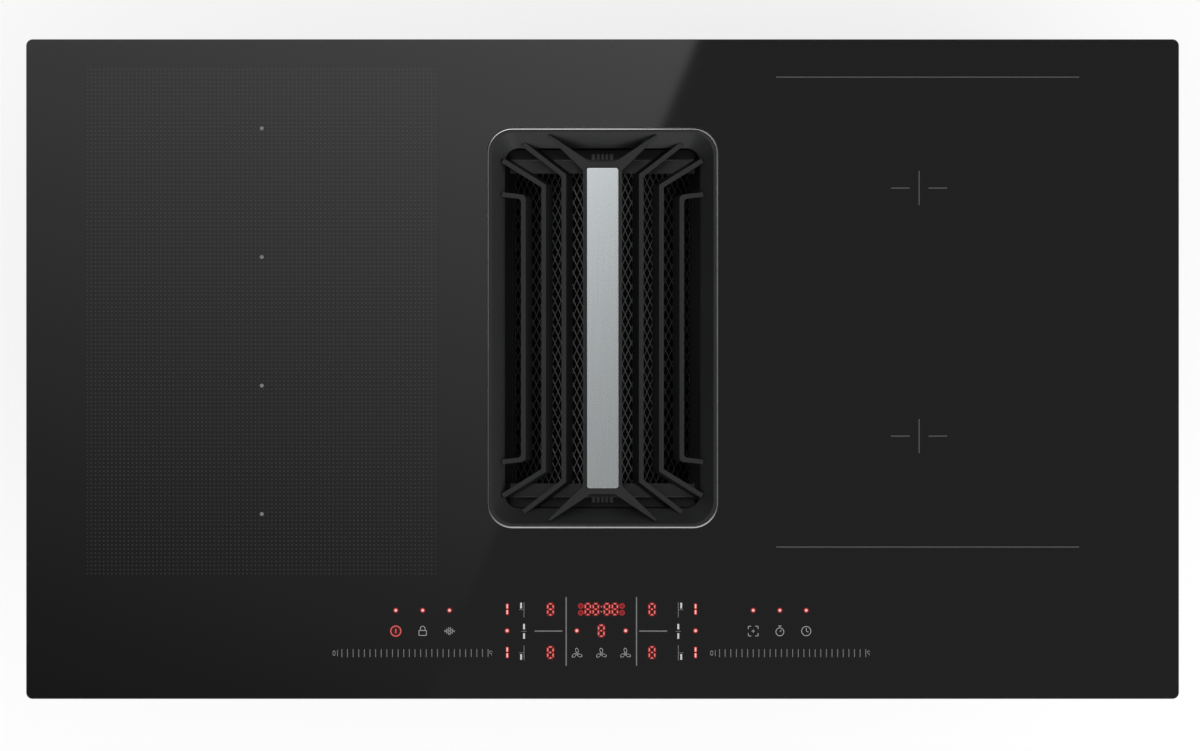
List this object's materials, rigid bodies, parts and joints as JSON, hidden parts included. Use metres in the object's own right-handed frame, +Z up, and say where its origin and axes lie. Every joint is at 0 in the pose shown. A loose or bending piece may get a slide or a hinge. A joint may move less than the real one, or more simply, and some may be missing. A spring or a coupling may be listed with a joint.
{
  "type": "downdraft induction cooktop",
  "caption": "Built-in induction cooktop in flat black glass with a central downdraft intake, lift-out grille and grease filter, under-mounted fan and round exhaust spigot",
  "frame": {"origin": "the centre of the glass outline, on the worktop surface that the rim seal lies on", "axes": "+X to the cook's right along the long side, +Y to the rear, +Z up out of the worktop"},
  "size_m": [0.9, 0.515, 0.2263],
  "materials": {
    "black_glass": "gloss",
    "seal_foam": "matte",
    "zinc_sheet": "satin",
    "trim_steel": "polished",
    "black_enamel": "matte",
    "satin_aluminium": "satin",
    "filter_steel": "satin",
    "black_plastic": "matte",
    "grey_plastic": "matte",
    "tray_aluminium": "mill",
    "former_plastic": "matte",
    "copper_litz": "varnished",
    "ferrite": "matte",
    "mica": "matte",
    "ceramic": "gloss",
    "spring_steel": "satin",
    "board_green": "satin",
    "capacitor_film": "gloss",
    "display_red": "gloss",
    "pad_foam": "matte",
    "motor_steel": "satin",
    "zinc_screw": "satin",
    "white_plastic": "satin"
  },
  "bodies": {
    "hob": {"glass_plate": "black_glass", "glass_seal": "seal_foam", "casing_tub": "zinc_sheet", "intake_trim": "trim_steel", "duct_seal": "seal_foam", "intake_shaft": "black_plastic", "sump_shell": "black_plastic", "plenum_lid": "black_plastic", "scroll_lower": "black_plastic", "scroll_upper": "black_plastic", "inlet_ring": "grey_plastic", "motor_stator": "motor_steel", "motor_flange": "motor_steel", "motor_bearings": "motor_steel", "fan_buffers": "seal_foam", "outlet_box": "black_plastic", "exhaust_spigot": "grey_plastic", "damper_pin": "spring_steel", "flex_coil_tray": "tray_aluminium", "round_coil_tray": "tray_aluminium", "flex_coil_formers": "former_plastic", "flex_coil_windings": "copper_litz", "round_coil_formers": "former_plastic", "round_coil_windings": "copper_litz", "ferrite_bars": "ferrite", "mica_sheets": "mica", "temperature_sensors": "ceramic", "tray_springs": "spring_steel", "power_board_left": "board_green", "power_board_right": "board_green", "heat_sink_left": "tray_aluminium", "heat_sink_right": "tray_aluminium", "board_parts": "capacitor_film", "touch_board": "board_green", "display_modules": "display_red", "touch_pads": "pad_foam", "cooling_fan_frames": "black_plastic", "terminal_block": "white_plastic", "terminal_cover": "zinc_sheet", "cable_gland": "grey_plastic", "mounting_brackets": "zinc_sheet", "clamp_screws": "zinc_screw", "casing_screws": "zinc_screw"},
    "filter": {"filter_frame": "filter_steel", "filter_mesh_left": "filter_steel", "filter_mesh_right": "filter_steel", "filter_latches": "grey_plastic"},
    "grille": {"grille_ring": "black_enamel", "grille_bars_left": "black_enamel", "grille_bars_right": "black_enamel", "strip_holder": "black_enamel", "grille_strip": "satin_aluminium"},
    "tray": {"drip_tray": "grey_plastic"},
    "fan_wheel": {"impeller": "grey_plastic", "motor_rotor": "motor_steel", "motor_shaft": "motor_steel"},
    "cooler_left": {"cooling_fan_rotor_left": "black_plastic"},
    "cooler_right": {"cooling_fan_rotor_right": "black_plastic"},
    "flap_left": {"damper_flap_left": "white_plastic"},
    "flap_right": {"damper_flap_right": "white_plastic"}
  },
  "joints": [
    {"name": "filter_lift", "type": "slide", "parent": "hob", "child": "filter", "axis": [0, 0, 1], "range_m": [0, 0.13]},
    {"name": "grille_lift", "type": "slide", "parent": "filter", "child": "grille", "axis": [0, 0, 1], "range_m": [0, 0.08]},
    {"name": "tray_slide", "type": "slide", "parent": "hob", "child": "tray", "axis": [0, -1, 0], "range_m": [0, 0.27]},
    {"name": "fan_spin", "type": "hinge", "parent": "hob", "child": "fan_wheel", "pos_m": [0.2265, 0.012, -0.103], "axis": [0, 0, 1], "continuous": true},
    {"name": "cooler_left_spin", "type": "hinge", "parent": "hob", "child": "cooler_left", "pos_m": [-0.266, -0.1915, -0.044], "axis": [0, 0, 1], "continuous": true},
    {"name": "cooler_right_spin", "type": "hinge", "parent": "hob", "child": "cooler_right", "pos_m": [0.266, -0.1915, -0.044], "axis": [0, 0, 1], "continuous": true},
    {"name": "flap_left_swing", "type": "hinge", "parent": "hob", "child": "flap_left", "pos_m": [0.32303, 0.192, -0.137], "axis": [0, 0, -1], "range_deg": [0, 70]},
    {"name": "flap_right_swing", "type": "hinge", "parent": "hob", "child": "flap_right", "pos_m": [0.32303, 0.192, -0.137], "axis": [0, 0, 1], "range_deg": [0, 70]}
  ]
}
